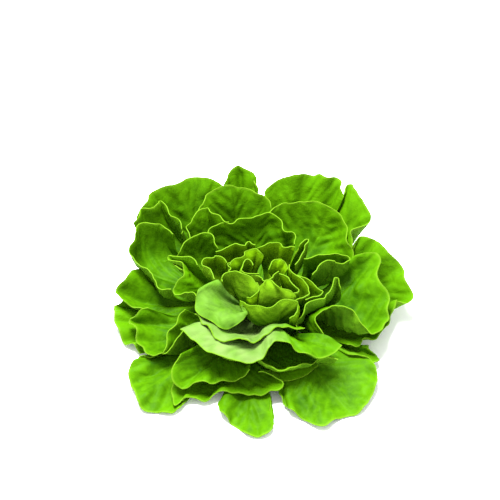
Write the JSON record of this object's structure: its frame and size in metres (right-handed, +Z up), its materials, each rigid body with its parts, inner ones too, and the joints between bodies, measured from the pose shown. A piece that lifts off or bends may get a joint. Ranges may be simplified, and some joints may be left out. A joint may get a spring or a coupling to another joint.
{
  "type": "butterhead lettuce head",
  "caption": "Open head of green butterhead lettuce with soft ruffled leaves round a crumpled heart, resting on its cut stem and its lowest leaves.",
  "frame": {"origin": "centre of the stem's flat cut face, which rests on the surface", "axes": "+Z up through the heart, -Y to the front of the head, +X to its right"},
  "size_m": [0.2422, 0.2261, 0.0726],
  "materials": {
    "leaf": "soft satin leaf, paler and matt on its underside",
    "heart": "soft satin leaf, lighter than the outer leaves",
    "stem": "moist cut stem"
  },
  "bodies": {
    "root": {"stem": "stem", "heart_core": "heart", "heart_core_left": "heart", "heart_core_front": "heart", "heart_core_right": "heart", "heart_core_back": "heart", "heart_left_inner": "heart", "heart_front_inner": "heart", "heart_back": "heart", "heart_cup": "heart", "heart_right": "heart", "heart_left": "heart", "heart_front": "heart", "heart_back_left": "heart", "heart_right_fold": "heart", "heart_back_right": "heart", "inner_right_low": "leaf", "inner_right": "leaf", "inner_left_front": "leaf", "inner_left": "leaf", "inner_left_curl": "leaf", "inner_front": "leaf", "middle_back": "leaf", "middle_back_left": "leaf", "middle_front": "leaf", "middle_left_front": "leaf", "middle_right": "leaf", "middle_back_right": "leaf", "middle_front_under": "leaf", "outer_left_cup": "leaf", "outer_left_back": "leaf", "outer_left_front": "leaf", "outer_back": "leaf", "outer_left": "leaf", "outer_back_right": "leaf", "outer_right_under": "leaf", "outer_right_back": "leaf", "outer_back_left": "leaf", "outer_back_tip": "leaf", "outer_right": "leaf", "outer_left_low": "leaf", "outer_front_left": "leaf", "outer_front_fold": "leaf", "outer_front_shade": "leaf", "outer_front_right": "leaf", "outer_right_low": "leaf", "outer_front_corner": "leaf", "lowest_front": "leaf", "lowest_back_right": "leaf", "lowest_back": "leaf", "lowest_back_left": "leaf"}
  },
  "joints": []
}
